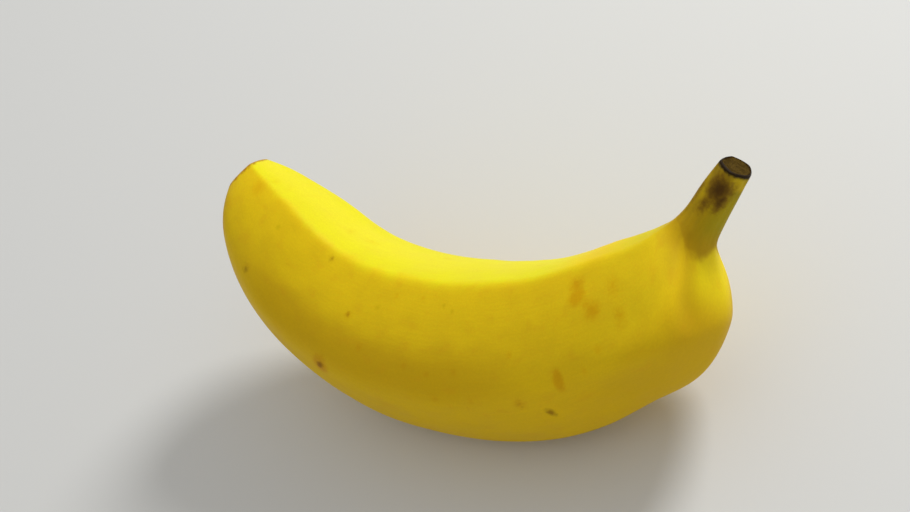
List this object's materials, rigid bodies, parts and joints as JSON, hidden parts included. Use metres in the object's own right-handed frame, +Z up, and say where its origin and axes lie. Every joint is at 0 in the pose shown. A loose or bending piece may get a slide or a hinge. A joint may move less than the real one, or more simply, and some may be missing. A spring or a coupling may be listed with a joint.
{
  "type": "banana",
  "caption": "Whole ripe banana with a short cut stem and a blunt blossom end, lying on its lower flank.",
  "frame": {"origin": "centre of the small flat spot under the fruit that it rests on", "axes": "+Z up from the table, +X along the fruit from the blossom end to the stem, +Y toward the hollow side of the bend, which leans back that way"},
  "size_m": [0.133, 0.0574, 0.0545],
  "materials": {
    "peel": null
  },
  "bodies": {
    "root": {"banana": "peel"}
  },
  "joints": []
}
